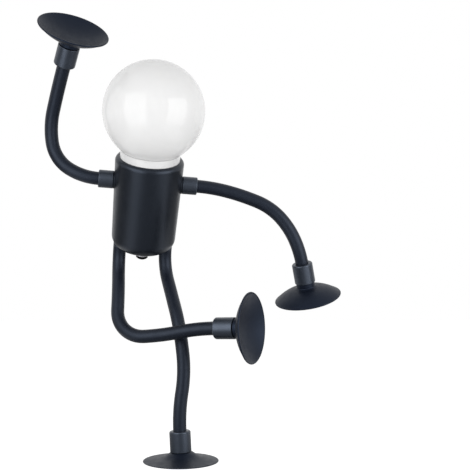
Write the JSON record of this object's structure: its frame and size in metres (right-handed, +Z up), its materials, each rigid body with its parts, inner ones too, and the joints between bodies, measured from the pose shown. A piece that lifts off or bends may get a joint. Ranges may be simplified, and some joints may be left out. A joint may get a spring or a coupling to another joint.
{
  "type": "suction cup lamp",
  "caption": "Table lamp shaped like a figure: a glowing ball head on a small cylindrical body with bendable limbs that end in suction cups.",
  "frame": {"origin": "centre of the face of the suction cup that the lamp stands on, on the table top", "axes": "+Z up, +X to the right of someone facing the lamp, +Y away from them"},
  "size_m": [0.2394, 0.12, 0.35],
  "materials": {
    "shell_plastic": "satin",
    "collar_plastic": "semi gloss",
    "neck_plastic": "gloss",
    "globe_plastic": "opal gloss",
    "frame_plastic": "matt",
    "sleeve_silicone": "satin",
    "cup_silicone": "satin",
    "core_steel": "bright wound",
    "screw_steel": "zinc plated",
    "plate_aluminium": "white lacquer",
    "chip_yellow": "matt",
    "cell_wrap": "film wrapped",
    "contact_nickel": "nickel plated",
    "board_green": "lacquered",
    "socket_metal": "stamped",
    "bezel_chrome": "polished",
    "button_plastic": "semi gloss",
    "wire_cover": "matt"
  },
  "bodies": {
    "lamp": {"body_shell": "shell_plastic", "neck_ring": "neck_plastic", "inner_frame": "frame_plastic", "frame_screws": "screw_steel", "led_plate": "plate_aluminium", "led_chips": "chip_yellow", "battery_cell": "cell_wrap", "battery_contacts": "contact_nickel", "circuit_board": "board_green", "charging_socket": "socket_metal", "switch_housing": "button_plastic", "switch_bezel": "bezel_chrome", "switch_spring": "contact_nickel", "lamp_wires": "wire_cover", "limb_nuts": "screw_steel", "leg_roots": "collar_plastic", "left_arm_collar": "collar_plastic", "right_arm_collar": "collar_plastic", "left_arm_shoulder_bend": "sleeve_silicone", "right_arm_shoulder_bend": "sleeve_silicone", "raised_leg_hip_bend": "sleeve_silicone", "standing_leg_hip_bend": "sleeve_silicone"},
    "globe": {"globe": "globe_plastic"},
    "switch_button": {"switch_button": "button_plastic"},
    "left_upper_arm": {"left_arm_upper_sleeve": "sleeve_silicone", "left_arm_shoulder_core": "core_steel", "left_arm_elbow_bend": "sleeve_silicone"},
    "left_forearm": {"left_arm_lower_sleeve": "sleeve_silicone", "left_arm_elbow_core": "core_steel", "left_arm_wrist_bend": "sleeve_silicone"},
    "left_hand": {"left_arm_wrist_core": "core_steel", "left_hand_collar": "collar_plastic", "left_hand_cup": "cup_silicone"},
    "right_upper_arm": {"right_arm_upper_sleeve": "sleeve_silicone", "right_arm_shoulder_core": "core_steel", "right_arm_elbow_bend": "sleeve_silicone"},
    "right_forearm": {"right_arm_lower_sleeve": "sleeve_silicone", "right_arm_elbow_core": "core_steel", "right_arm_wrist_bend": "sleeve_silicone"},
    "right_hand": {"right_arm_wrist_core": "core_steel", "right_hand_collar": "collar_plastic", "right_hand_cup": "cup_silicone"},
    "raised_upper_leg": {"raised_leg_upper_sleeve": "sleeve_silicone", "raised_leg_hip_core": "core_steel", "raised_leg_knee_bend": "sleeve_silicone"},
    "raised_lower_leg": {"raised_leg_lower_sleeve": "sleeve_silicone", "raised_leg_knee_core": "core_steel", "raised_leg_ankle_bend": "sleeve_silicone"},
    "raised_foot": {"raised_leg_ankle_core": "core_steel", "raised_foot_collar": "collar_plastic", "raised_foot_cup": "cup_silicone"},
    "standing_upper_leg": {"standing_leg_upper_sleeve": "sleeve_silicone", "standing_leg_hip_core": "core_steel", "standing_leg_knee_bend": "sleeve_silicone"},
    "standing_lower_leg": {"standing_leg_lower_sleeve": "sleeve_silicone", "standing_leg_knee_core": "core_steel", "standing_leg_ankle_bend": "sleeve_silicone"},
    "standing_foot": {"standing_leg_ankle_core": "core_steel", "standing_foot_collar": "collar_plastic", "standing_foot_cup": "cup_silicone"}
  },
  "joints": [
    {"name": "left_arm_shoulder", "type": "hinge", "parent": "lamp", "child": "left_upper_arm", "pos_m": [-0.07891, 0.00049, 0.22621], "axis": [-0.1408, 0.9513, -0.2744], "range_deg": [-60, 10], "deforming": ["left_arm_shoulder_bend", "left_arm_shoulder_core"]},
    {"name": "left_arm_elbow", "type": "hinge", "parent": "left_upper_arm", "child": "left_forearm", "pos_m": [-0.10407, -0.00213, 0.26506], "axis": [0.6984, 0.7022, 0.1382], "range_deg": [-50, 10], "deforming": ["left_arm_elbow_bend", "left_arm_elbow_core"]},
    {"name": "left_arm_wrist", "type": "hinge", "parent": "left_forearm", "child": "left_hand", "pos_m": [-0.09276, -0.02096, 0.3012], "axis": [-0.9025, -0.4211, 0.0901], "range_deg": [-40, 60], "deforming": ["left_arm_wrist_bend", "left_arm_wrist_core"]},
    {"name": "right_arm_shoulder", "type": "hinge", "parent": "lamp", "child": "right_upper_arm", "pos_m": [0.02408, 0.01297, 0.21702], "axis": [-0.1436, 0.8956, -0.4211], "range_deg": [-60, 10], "deforming": ["right_arm_shoulder_bend", "right_arm_shoulder_core"]},
    {"name": "right_arm_elbow", "type": "hinge", "parent": "right_upper_arm", "child": "right_forearm", "pos_m": [0.07176, 0.01432, 0.20001], "axis": [-0.0017, 0.9999, 0.0101], "range_deg": [-50, 25], "deforming": ["right_arm_elbow_bend", "right_arm_elbow_core"]},
    {"name": "right_arm_wrist", "type": "hinge", "parent": "right_forearm", "child": "right_hand", "pos_m": [0.09498, 0.01626, 0.16538], "axis": [0.6953, 0.6317, 0.343], "range_deg": [-60, 45], "deforming": ["right_arm_wrist_bend", "right_arm_wrist_core"]},
    {"name": "raised_leg_hip", "type": "hinge", "parent": "lamp", "child": "raised_upper_leg", "pos_m": [-0.05422, 0.03369, 0.15805], "axis": [-0.9816, -0.188, 0.0347], "range_deg": [-8, 45], "deforming": ["raised_leg_hip_bend", "raised_leg_hip_core"]},
    {"name": "raised_leg_knee", "type": "hinge", "parent": "raised_upper_leg", "child": "raised_lower_leg", "pos_m": [-0.04547, 0.00465, 0.10303], "axis": [-0.3007, -0.858, 0.4164], "range_deg": [-60, 20], "deforming": ["raised_leg_knee_bend", "raised_leg_knee_core"]},
    {"name": "raised_leg_ankle", "type": "hinge", "parent": "raised_lower_leg", "child": "raised_foot", "pos_m": [0.01382, -0.01567, 0.10442], "axis": [0.3056, 0.6759, -0.6706], "range_deg": [-45, 45], "deforming": ["raised_leg_ankle_bend", "raised_leg_ankle_core"]},
    {"name": "standing_leg_hip", "type": "hinge", "parent": "lamp", "child": "standing_upper_leg", "pos_m": [-0.01586, 0.03848, 0.15546], "axis": [-0.935, -0.3502, -0.0561], "range_deg": [-45, 8], "deforming": ["standing_leg_hip_bend", "standing_leg_hip_core"]},
    {"name": "standing_leg_knee", "type": "hinge", "parent": "standing_upper_leg", "child": "standing_lower_leg", "pos_m": [-0.00163, 0.00654, 0.10219], "axis": [0.9594, 0.2678, 0.0883], "range_deg": [-40, 40], "deforming": ["standing_leg_knee_bend", "standing_leg_knee_core"]},
    {"name": "standing_leg_ankle", "type": "hinge", "parent": "standing_lower_leg", "child": "standing_foot", "pos_m": [-0.00088, 0.00018, 0.03867], "axis": [0.2246, -0.9744, 0.0118], "range_deg": [-45, 45], "deforming": ["standing_leg_ankle_bend", "standing_leg_ankle_core"]},
    {"name": "globe_twist", "type": "hinge", "parent": "lamp", "child": "globe", "pos_m": [-0.02497, -0.00309, 0.23981], "axis": [0.119, -0.4586, 0.8806], "range_deg": [0, 30]},
    {"name": "switch_press", "type": "slide", "parent": "lamp", "child": "switch_button", "axis": [0.119, -0.4586, 0.8806], "range_m": [0, 0.0019], "stiffness_N_per_m": 600, "springref_m": -0.0015, "deforming": ["switch_spring"]}
  ]
}
